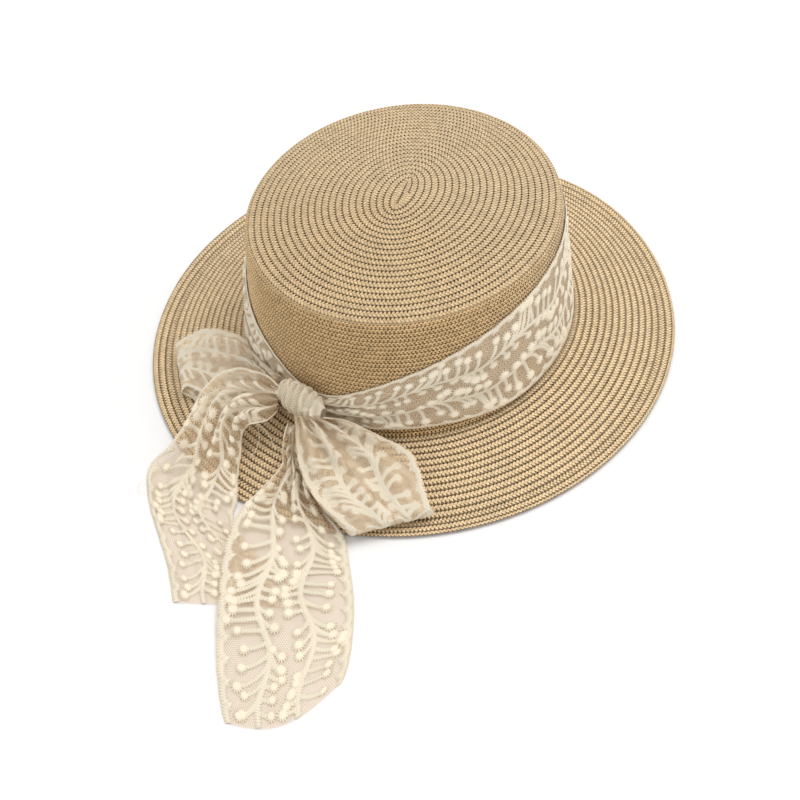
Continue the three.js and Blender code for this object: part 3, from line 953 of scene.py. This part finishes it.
class Embroidery:
    """Collects raised satin-stitched shapes on a sheet as one mesh."""

    RISE = 0.55
    SINK = 0.25
    STEP = 0.68
    # Between two stitches a line is this much narrower and lower, and darker by painted shade; its sides get
    # painted shade too.
    GAP_WIDTH = 0.52
    GAP_RISE = 0.7
    GAP_PAINTED_LIGHT = 0.2
    EDGE_PAINTED_LIGHT = 0.4
    # A berry's middle and the ring round it stand high, and its spikes fall to the net.
    BERRY_RISE = 0.95
    BERRY_RING = 0.45
    BERRY_RING_RISE = 0.85
    BERRY_SPIKE_RISE = 0.1
    BERRY_GAP = 0.58
    # A direction that no loose thread runs along.
    THREAD_ASIDE = (0.3, 0.5, 1.0)

    def __init__(self, sheet):
        self.sheet = sheet
        self.points = []
        self.ridges = []
        self.faces = []
        self.count = 0

    def keep(self, points, ridges, faces):
        """Adds a shape's points, their painted light values and its faces."""
        self.points.append(points.reshape(-1, 3))
        self.ridges.append(np.asarray(ridges, float).ravel())
        self.faces.extend((np.asarray(faces) + self.count).tolist())
        self.count += points.reshape(-1, 3).shape[0]

    def strip(self, along, across, width):
        """A raised line of satin stitch through flat points, with a toothed edge."""
        run = HatProfile.lengths(np.stack([along, across], -1))
        steps = max(3, int(run[-1] / self.STEP))
        even = np.linspace(0, run[-1], steps + 1)
        s = np.interp(even, run, along)
        t = np.interp(even, run, across)
        wide = np.interp(even, run, width) / 2
        on_stitch = np.arange(steps + 1) % 2 == 0
        tooth = np.where(on_stitch, 1.0, self.GAP_WIDTH)
        ds = np.gradient(s)
        dt = np.gradient(t)
        size = np.maximum(np.hypot(ds, dt), TINY)
        side_s = -dt / size * wide * tooth
        side_t = ds / size * wide * tooth
        flat_s = np.stack([s - side_s, s, s + side_s, s], 1)
        flat_t = np.stack([t - side_t, t, t + side_t, t], 1)
        top = self.RISE * np.where(on_stitch, 1.0, self.GAP_RISE)
        low = np.zeros_like(top)
        rise = np.stack([low, top, low, low - self.SINK], 1)
        points = self.sheet.place(flat_s, flat_t, rise)
        # Painted light: full on the stitches' crowns; painted shade at their sides, between stitches and
        # underneath.
        profile = np.array([self.EDGE_PAINTED_LIGHT, 1.0, self.EDGE_PAINTED_LIGHT, 0.0])
        ridges = np.where(on_stitch, 1.0, self.GAP_PAINTED_LIGHT)[:, None] * profile
        self.keep(points, ridges, self.tube_faces(steps))

    @staticmethod
    def tube_faces(steps):
        """Faces of a closed four-sided tube with a ring at each step."""
        i = np.arange(steps)[:, None] * 4
        faces = []
        for a, b in ((0, 1), (1, 2), (2, 3), (3, 0)):
            faces.append(np.concatenate([i + a, i + b, i + b + 4, i + a + 4], 1))
        last = 4 * steps
        caps = np.array([[3, 2, 1, 0], [last, last + 1, last + 2, last + 3]])
        return np.concatenate(faces + [caps])

    def loose_thread(self, places):
        """A thread that has come loose, through places in hat millimetres."""
        line = eased_line(places, (0, 1, 2), THREAD_STEPS * len(places))
        ahead = np.gradient(line, axis=0)
        side = np.cross(ahead, self.THREAD_ASIDE)
        side /= np.linalg.norm(side, axis=1, keepdims=True)
        up = np.cross(side, ahead)
        up /= np.linalg.norm(up, axis=1, keepdims=True)
        ring = np.stack([side, up, -side, -up], 1) * THREAD_RADIUS
        points = in_frame(line[:, None] + ring)
        self.keep(points, np.ones(points.shape[:2]), self.tube_faces(len(line) - 1))

    def berry(self, along, across, radius, spikes):
        """A small round boss of radiating stitches."""
        count = 2 * spikes
        angle = np.arange(count) * TURN / count
        on_spike = np.arange(count) % 2 == 0
        spike = np.where(on_spike, 1.0, self.BERRY_GAP)
        reach = np.concatenate([[0.0, 0.0], np.full(count, self.BERRY_RING), spike]) * radius
        turn = np.concatenate([[0.0, 0.0], angle, angle])
        ring_rise = np.full(count, self.BERRY_RING_RISE)
        spike_rise = np.full(count, self.BERRY_SPIKE_RISE)
        rise = np.concatenate([[self.BERRY_RISE, -self.SINK], ring_rise, spike_rise])
        points = self.sheet.place(along + reach * np.cos(turn), across + reach * np.sin(turn), rise)
        # Painted light on the berry's top, ring and spikes; painted shade between the spikes and underneath.
        ridges = np.concatenate([[1.0, 0.0], np.ones(count), on_spike])
        k = np.arange(count)
        n = (k + 1) % count
        inner = 2
        outer = 2 + count
        top = np.stack([np.zeros(count, int), inner + k, inner + n], 1)
        ring_a = np.stack([inner + k, outer + k, outer + n], 1)
        ring_b = np.stack([inner + k, outer + n, inner + n], 1)
        under = np.stack([np.ones(count, int), outer + n, outer + k], 1)
        self.keep(points, ridges, np.concatenate([top, ring_a, ring_b, under]))

    def make(self, name):
        """The collected shapes as one object."""
        mesh = bpy.data.meshes.new(name)
        mesh.from_pydata(np.concatenate(self.points).tolist(), [], self.faces)
        store(mesh, "stitch_painted_light", np.concatenate(self.ridges))
        bm = bmesh.new()
        bm.from_mesh(mesh)
        bmesh.ops.recalc_face_normals(bm, faces=bm.faces)
        bm.to_mesh(mesh)
        bm.free()
        obj = bpy.data.objects.new(name, mesh)
        bpy.context.scene.collection.objects.link(obj)
        return obj


# The vine: two wavy stems, side branches that end in berries, and scalloped borders.
STEM_SHARES = (0.34, 0.66)
STEM_WAVE = 3.4
STEM_WAVE_LENGTH = 58.0
STEM_WIDTH = 3.9
BRANCH_WIDTH = 3.0
BERRY_RADIUS = 3.8
BERRY_SIZES = (0.85, 1.05)
BORDER_WIDTH = 4.4
BORDER_CUSP = 3.0
BORDER_NOTCH = 1.1
LINE_STEP = 0.5
# Share of a wave by which the second stem is ahead of the first.
STEM_SHIFT = 0.08
# How far a branch leans forward along the ribbon: its mean, its wave and its random part.
BRANCH_LEAN = 6.0
BRANCH_LEAN_WAVE = 5.0
BRANCH_LEAN_SPREAD = 2.0
BRANCH_ROOT_SPREAD = 0.7
BRANCH_REACHES = (0.6, 1.0)
BRANCH_POINTS = 9
BRANCH_BEND_ALONG = 1.5
BRANCH_BEND_ACROSS = 1.2
BRANCH_ROOT_WIDTH = 1.1
BRANCH_TIP_WIDTH = 0.9
# Room that branches leave to the border and to the ribbon's middle, and roots to its end.
BORDER_ROOM = 6.2
MIDDLE_ROOM = 2.5
END_ROOM = 2.0


def stem_across(sheet, which, along):
    """Where a stem lies across the ribbon."""
    wave = np.sin(TURN * (along / STEM_WAVE_LENGTH + which * STEM_SHIFT))
    return sheet.width * STEM_SHARES[which] + STEM_WAVE * wave


def branch_row(work, which, side, settings, rng):
    """Branches with berries along one side of a stem."""
    sheet = work.sheet
    pitch = settings.branch_pitch / MM
    outer = (side < 0) == (which == 0)
    if outer:
        room = sheet.width * STEM_SHARES[0] - BORDER_ROOM
    else:
        room = sheet.width * (STEM_SHARES[1] - STEM_SHARES[0]) / 2 - MIDDLE_ROOM
    bend = np.linspace(0, 1, BRANCH_POINTS)
    width = BRANCH_WIDTH * np.linspace(BRANCH_ROOT_WIDTH, BRANCH_TIP_WIDTH, BRANCH_POINTS)
    for place in np.arange(rng.uniform(0, pitch), sheet.length - END_ROOM, pitch):
        root = place + rng.uniform(-BRANCH_ROOT_SPREAD, BRANCH_ROOT_SPREAD)
        wave = BRANCH_LEAN_WAVE * math.sin(TURN * root / STEM_WAVE_LENGTH + which + side)
        lean = BRANCH_LEAN + wave + rng.uniform(-BRANCH_LEAN_SPREAD, BRANCH_LEAN_SPREAD)
        reach = side * room * rng.uniform(*BRANCH_REACHES)
        tip = root + lean
        if tip > sheet.length - BERRY_RADIUS:
            continue
        start = stem_across(sheet, which, root)
        along = root + lean * (1 - (1 - bend) ** BRANCH_BEND_ALONG)
        across = start + reach * bend**BRANCH_BEND_ACROSS
        work.strip(along, across, width)
        work.berry(tip, start + reach, BERRY_RADIUS * rng.uniform(*BERRY_SIZES), settings.berry_spikes)


def vine_object(name, sheet, settings, seed, threads):
    """The raised vine and borders of a ribbon, and its loose threads."""
    rng = np.random.default_rng(seed)
    work = Embroidery(sheet)
    along = np.arange(0.0, sheet.length, LINE_STEP)
    for which in (0, 1):
        work.strip(along, stem_across(sheet, which, along), np.full(along.shape, STEM_WIDTH))
        for side in (-1, 1):
            branch_row(work, which, side, settings, rng)
    scallop = settings.scallop_pitch / MM
    cusp = (1 - np.abs(np.sin(math.pi * along / scallop))) ** 2
    inner = BORDER_WIDTH + BORDER_CUSP * cusp
    outer = BORDER_NOTCH * cusp
    middle = (inner + outer) / 2
    for across in (middle, sheet.width - middle):
        work.strip(along, across, inner - outer)
    for places in threads:
        work.loose_thread(places)
    return work.make(name)


def eased_line(table, columns, count):
    """A smooth line through some columns of a table, with evenly many points a row."""
    rows = np.array([[row[k] for k in columns] for row in table], float)
    padded = np.concatenate([2 * rows[:1] - rows[1:2], rows, 2 * rows[-1:] - rows[-2:-1]])
    place = np.linspace(0, len(rows) - 1, count)
    i = np.minimum(place.astype(int), len(rows) - 2)
    t = (place - i)[:, None]
    p0, p1, p2, p3 = (padded[i + k] for k in range(4))
    bend = 2 * p0 - 5 * p1 + 4 * p2 - p3
    turn = 3 * p1 - p0 - 3 * p2 + p3
    return 0.5 * (2 * p1 + (p2 - p0) * t + bend * t**2 + turn * t**3)


def rest_height(x, y):
    """Lowest height of a ribbon over the brim and the floor."""
    out = out_of(x, y)
    face = np.array(BRIM_FOOT + BRIM_TOP)
    on_brim = np.interp(np.clip(out, face[0, 0], BRIM_WIDTH), face[:, 0], face[:, 1]) + BRIM_CLEAR
    past = out - BRIM_WIDTH - EDGE_START
    ramp = smooth(past / EDGE_RAMP)
    at_edge = face[-1, 1] + BRIM_CLEAR
    return np.where(past <= 0, on_brim, at_edge * (1 - ramp) + FLOOR_CLEAR * ramp)


# Pleats of the bow's ribbons: their count, greatest depth, share of the spare width and sway.
PLEAT_COUNT = 4
PLEAT_DEPTH = 2.8
PLEAT_SHARE = 0.95
PLEAT_SWAY = 0.6
PLEAT_SWAY_LENGTH = 9.0
# Row of a loop's edges where it folds over, and how far along the pleats fade there.
FOLD_ROW = 4.6
FOLD_SPREAD = 24.0
EDGE_POINTS = 400
END_BOW_POWER = 4


def pleat_depth(width, flat):
    """Depth of the pleats that take up a flat width in a narrower one."""
    spare = np.sqrt(2 * np.maximum((PLEAT_SHARE * flat / width) ** 2 - 1, 0.0))
    return np.minimum(width / (TURN * PLEAT_COUNT) * spare, PLEAT_DEPTH)


def ribbon_sheet(table, settings, end_bow=0.0, fold_row=None, rows=140, columns=49):
    """A ribbon of the bow through its table of edges, pleated where it is narrow and smooth at a fold."""
    flat = settings.ribbon_width / MM
    edge_a = eased_line(table, (0, 1, 2), EDGE_POINTS)
    edge_b = eased_line(table, (3, 4, 5), EDGE_POINTS)
    middle = (edge_a + edge_b) / 2
    run = HatProfile.lengths(middle)
    length = run[-1]
    even = np.linspace(0, length, rows)
    edge_a = np.stack([np.interp(even, run, edge_a[:, k]) for k in range(3)], -1)
    edge_b = np.stack([np.interp(even, run, edge_b[:, k]) for k in range(3)], -1)
    share = np.linspace(0, 1, columns)[None, :, None]
    points = edge_a[:, None] * (1 - share) + edge_b[:, None] * share
    ahead = np.gradient(middle, axis=0)
    ahead = np.stack([np.interp(even, run, ahead[:, k]) for k in range(3)], -1)
    ahead /= np.linalg.norm(ahead, axis=1, keepdims=True)
    bow = end_bow * (even / length)[:, None] ** END_BOW_POWER * np.sin(math.pi * share[0, :, 0])
    points = points + ahead[:, None] * bow[..., None]
    across = edge_b - edge_a
    width = np.linalg.norm(across, axis=1)
    normal = np.cross(ahead, across)
    normal /= np.linalg.norm(normal, axis=1, keepdims=True)
    depth = pleat_depth(width, flat)
    if fold_row is not None:
        fold_at = np.interp(fold_row, np.linspace(0, len(table) - 1, len(run)), run)
        depth = depth * (1 - np.exp(-np.square((even - fold_at) / FOLD_SPREAD)))
    sway = PLEAT_SWAY * np.sin(even / PLEAT_SWAY_LENGTH)[:, None]
    fold = np.sin(TURN * PLEAT_COUNT * share[0, :, 0] + sway)
    points = points + normal[:, None] * (depth[:, None] * fold)[..., None]
    out = out_of(points[..., 0], points[..., 1])
    x = points[..., 0] / (CROWN_HALF_WIDTH + out)
    y = points[..., 1] / (CROWN_HALF_LENGTH + out)
    angle = np.arctan2(y, x)
    kept = np.maximum(out, BOW_KEEP_OUT)
    points[..., 0] = (CROWN_HALF_WIDTH + kept) * np.cos(angle)
    points[..., 1] = (CROWN_HALF_LENGTH + kept) * np.sin(angle)
    points[..., 2] = np.maximum(points[..., 2], rest_height(points[..., 0], points[..., 1]))
    return LaceSheet(in_frame(points), length, flat)


# The band's distance from the crown, and its folds: how deep, how many, how they sway and fade at the top.
BAND_STAND_OFF = 0.9
BAND_FOLD_DEPTH = 1.3
BAND_FOLD_SHARE = 1.6
BAND_FOLD_COUNT = 3
BAND_FOLD_SWAY = 0.5
BAND_SWAYS = 7
BAND_FOLD_FADE = 4
BAND_EASE = 11


def band_sheet(settings, rows=420, columns=49):
    """The band round the crown, gathered into folds toward the knot."""
    flat = settings.ribbon_width / MM
    table = np.array(BAND_EDGES, float)
    direction = np.linspace(table[0, 0], table[-1, 0], rows)
    lower = np.interp(direction, table[:, 0], table[:, 1])
    upper = np.interp(direction, table[:, 0], table[:, 2])
    ease = np.hanning(2 * BAND_EASE + 3)[1:-1]
    ease /= ease.sum()
    lower, upper = (np.convolve(np.pad(edge, BAND_EASE, "edge"), ease, "valid") for edge in (lower, upper))
    share = np.linspace(0, 1, columns)[None, :]
    height = lower[:, None] * (1 - share) + upper[:, None] * share
    side = np.array(CROWN_EDGE[-1:] + CROWN_SIDE + BRIM_FOOT[:1])[::-1]
    out = np.interp(height, side[:, 1], side[:, 0])
    width = upper - lower
    depth = np.minimum(pleat_depth(width, flat), BAND_FOLD_DEPTH)[:, None]
    sway = BAND_FOLD_SWAY * np.sin(np.radians(direction * BAND_SWAYS))[:, None]
    fold = 0.5 + 0.5 * np.sin(TURN * BAND_FOLD_COUNT * share + sway)
    fade = smooth(BAND_FOLD_FADE * (1 - share))
    out = out + BAND_STAND_OFF + BAND_FOLD_SHARE * depth * fold * fade
    angle = np.radians(direction)[:, None] + np.zeros_like(out)
    points = on_hat(angle, out, height)
    middle = points[:, columns // 2] / MM
    return LaceSheet(points, HatProfile.lengths(middle)[-1], flat)


def knot_sheet(settings, rows=72, columns=49):
    """The ribbon wound round the knot, gathered into ridges along its length."""
    angle = math.radians(KNOT_DIRECTION)
    centre = on_hat(np.array(angle), np.array(KNOT_OUT), np.array(KNOT_HEIGHT)) / MM
    outward = np.array([math.cos(angle) / CROWN_HALF_WIDTH, math.sin(angle) / CROWN_HALF_LENGTH, 0.0])
    outward /= np.linalg.norm(outward)
    sideways = np.array([outward[1], -outward[0], 0.0])
    upward = np.array([0.0, 0.0, 1.0])
    turn = np.linspace(0, TURN, rows)[:, None]
    share = np.linspace(-1, 1, columns)[None, :]
    girth = np.sqrt(np.maximum(1 - KNOT_END_THINNING * np.abs(share) ** 3, KNOT_END_GIRTH))
    wave = TURN * KNOT_RIDGE_TURNS * share + KNOT_RIDGE_SWAY * np.sin(turn)
    ridge = KNOT_RIDGE_DEPTH * np.sin(wave) * girth
    depth = KNOT_HALF_DEPTH * (girth + ridge)
    height = KNOT_HALF_HEIGHT * (girth + ridge)
    lean = KNOT_LEAN * share * KNOT_HALF_HEIGHT
    points = (
        centre
        + sideways * (share * KNOT_HALF_LENGTH + 0 * turn)[..., None]
        + outward * (depth * np.cos(turn))[..., None]
        + upward * (height * np.sin(turn) + lean)[..., None]
    )
    length = TURN * KNOT_GIRTH_SHARE * (KNOT_HALF_DEPTH + KNOT_HALF_HEIGHT) / 2
    return LaceSheet(points * MM, length, settings.ribbon_width / MM)


class Laying(NamedTuple):
    """How one lace piece lies."""

    held: str  # how the cloth is held
    rests_on: str  # the piece it lies on
    seed: int  # start of its random numbers
    layers: float  # layers of net it looks like


LAYING = {
    "lace_band": Laying(held="gathered", rests_on="crown_side", seed=21, layers=1.45),
    "bow_knot": Laying(held="gathered", rests_on="lace_band", seed=22, layers=3.2),
    "bow_loop_left": Laying(held="folded", rests_on="brim", seed=23, layers=1.5),
    "bow_loop_right": Laying(held="folded", rests_on="brim", seed=24, layers=1.3),
    "bow_tail_left": Laying(held="draped", rests_on="brim", seed=25, layers=1.0),
    "bow_tail_right": Laying(held="draped", rests_on="brim", seed=26, layers=1.0),
}


def lace_piece(name, sheet, settings, threads=()):
    """A ribbon piece: its net and its raised vine, tied to the frame."""
    laying = LAYING[name]
    net = net_object(name + "_net", sheet, laying.layers)
    vine = vine_object(name + "_vine", sheet, settings, laying.seed, threads)
    take_on(net, [name], net_material(settings))
    take_on(vine, [name], thread_material(settings))


# Operators


class SUNHAT_OT_crown(bpy.types.Operator):
    """Sew the top and the side of the crown from braid"""

    bl_idname = "sunhat.crown"
    bl_label = "Crown"

    def execute(self, context):
        straw = context.scene.sunhat_straw
        top = braid_piece("crown_top_braid", 0.0, PROFILE.rim, straw, straw.row_pitch / MM, TOP_SEWING, True)
        take_on(top, ["crown_top"], straw_material(straw))
        pitch = straw.side_pitch / MM
        side = braid_piece("crown_side_braid", PROFILE.rim, PROFILE.foot, straw, pitch, SIDE_SEWING)
        take_on(side, ["crown_side"], straw_material(straw))
        return {"FINISHED"}


class SUNHAT_OT_brim(bpy.types.Operator):
    """Sew the brim from braid"""

    bl_idname = "sunhat.brim"
    bl_label = "Brim"

    def execute(self, context):
        straw = context.scene.sunhat_straw
        pitch = straw.row_pitch / MM * BRIM_PITCH_SHARE
        brim = braid_piece("brim_braid", PROFILE.foot, PROFILE.end, straw, pitch, BRIM_SEWING)
        take_on(brim, ["brim"], straw_material(straw))
        return {"FINISHED"}


class SUNHAT_OT_band(bpy.types.Operator):
    """Lay the lace band round the crown"""

    bl_idname = "sunhat.band"
    bl_label = "Lace band"

    def execute(self, context):
        lace = context.scene.sunhat_lace
        lace_piece("lace_band", band_sheet(lace), lace)
        return {"FINISHED"}


class SUNHAT_OT_knot(bpy.types.Operator):
    """Tie the knot of the bow"""

    bl_idname = "sunhat.knot"
    bl_label = "Bow knot"

    def execute(self, context):
        lace = context.scene.sunhat_lace
        lace_piece("bow_knot", knot_sheet(lace), lace)
        return {"FINISHED"}


class SUNHAT_OT_loops(bpy.types.Operator):
    """Fold the two loops of the bow"""

    bl_idname = "sunhat.loops"
    bl_label = "Bow loops"

    def execute(self, context):
        lace = context.scene.sunhat_lace
        lace_piece("bow_loop_left", ribbon_sheet(LEFT_LOOP, lace, fold_row=FOLD_ROW), lace)
        lace_piece("bow_loop_right", ribbon_sheet(RIGHT_LOOP, lace, fold_row=FOLD_ROW), lace)
        return {"FINISHED"}


class SUNHAT_OT_tails(bpy.types.Operator):
    """Lay the two tails over the brim and on the floor"""

    bl_idname = "sunhat.tails"
    bl_label = "Bow tails"

    def execute(self, context):
        lace = context.scene.sunhat_lace
        lace_piece("bow_tail_left", ribbon_sheet(LEFT_TAIL, lace), lace, LOOSE_THREADS)
        lace_piece("bow_tail_right", ribbon_sheet(RIGHT_TAIL, lace, END_BOW), lace)
        return {"FINISHED"}


class SUNHAT_OT_stage(bpy.types.Operator):
    """Set the floor, the light and the camera"""

    bl_idname = "sunhat.stage"
    bl_label = "Stage"

    def execute(self, context):
        stage = context.scene.sunhat_stage
        bm = bmesh.new()
        bmesh.ops.create_grid(bm, x_segments=1, y_segments=1, size=FLOOR_HALF_SIZE)
        mesh = bpy.data.meshes.new("floor")
        bm.to_mesh(mesh)
        bm.free()
        floor = bpy.data.objects.new("floor", mesh)
        context.scene.collection.objects.link(floor)
        material, _, shader = new_material("floor")
        shader.inputs["Base Color"].default_value = rgba(stage.floor_colour)
        shader.inputs["Roughness"].default_value = 0.9
        mesh.materials.append(material)
        world = bpy.data.worlds.new("studio")
        world.use_nodes = True
        context.scene.world = world
        sky = world.node_tree.nodes["Background"]
        sky.inputs["Color"].default_value = (1.0, 1.0, 1.0, 1.0)
        sky.inputs["Strength"].default_value = stage.sky_strength
        self.add_key(context, stage.key_power)
        context.scene.view_settings.view_transform = "Standard"
        self.add_camera(context)
        return {"FINISHED"}

    @staticmethod
    def add_key(context, power):
        lamp = bpy.data.lights.new("key", "AREA")
        lamp.shape = "DISK"
        lamp.size = KEY_SIZE
        lamp.energy = power
        lamp.color = KEY_COLOUR
        light = bpy.data.objects.new("key", lamp)
        light.location = KEY_PLACE
        light.rotation_euler = (-Vector(KEY_PLACE)).to_track_quat("-Z", "Y").to_euler()
        context.scene.collection.objects.link(light)

    @staticmethod
    def add_camera(context):
        lens = bpy.data.cameras.new("photo_camera")
        lens.lens = CAMERA_LENS
        lens.sensor_width = CAMERA_SENSOR
        lens.clip_start = CAMERA_NEAR
        camera = bpy.data.objects.new("photo_camera", lens)
        back = -Vector(CAMERA_FORWARD).normalized()
        right = Vector(CAMERA_UP).cross(back).normalized()
        up = back.cross(right)
        turn = Matrix((right, up, back)).transposed().to_4x4()
        camera.matrix_world = Matrix.Translation(Vector(in_frame(CAMERA_PLACE))) @ turn
        context.scene.collection.objects.link(camera)
        context.scene.camera = camera


class SUNHAT_PT_panel(bpy.types.Panel):
    """Lists the steps that build the hat"""

    bl_idname = "SUNHAT_PT_panel"
    bl_label = "Sun hat"
    bl_space_type = "VIEW_3D"
    bl_region_type = "UI"
    bl_category = "Sun hat"

    def draw(self, context):
        for operator in OPERATORS:
            self.layout.operator(operator.bl_idname)
        for name in SETTINGS:
            group = getattr(context.scene, name)
            for key in group.bl_rna.properties.keys():
                if key not in ("rna_type", "name"):
                    self.layout.prop(group, key)


OPERATORS = (
    SUNHAT_OT_crown,
    SUNHAT_OT_brim,
    SUNHAT_OT_band,
    SUNHAT_OT_knot,
    SUNHAT_OT_loops,
    SUNHAT_OT_tails,
    SUNHAT_OT_stage,
)
SETTINGS = {
    "sunhat_straw": StrawSettings,
    "sunhat_lace": LaceSettings,
    "sunhat_stage": StageSettings,
}


def register():
    for name, group in SETTINGS.items():
        bpy.utils.register_class(group)
        setattr(bpy.types.Scene, name, PointerProperty(type=group))
    for operator in OPERATORS:
        bpy.utils.register_class(operator)
    bpy.utils.register_class(SUNHAT_PT_panel)


def unregister():
    bpy.utils.unregister_class(SUNHAT_PT_panel)
    for operator in reversed(OPERATORS):
        bpy.utils.unregister_class(operator)
    for name, group in SETTINGS.items():
        delattr(bpy.types.Scene, name)
        bpy.utils.unregister_class(group)


def main():
    register()
    bpy.ops.sunhat.crown()
    bpy.ops.sunhat.brim()
    bpy.ops.sunhat.band()
    bpy.ops.sunhat.knot()
    bpy.ops.sunhat.loops()
    bpy.ops.sunhat.tails()
    bpy.ops.sunhat.stage()


if __name__ == "__main__":
    main()
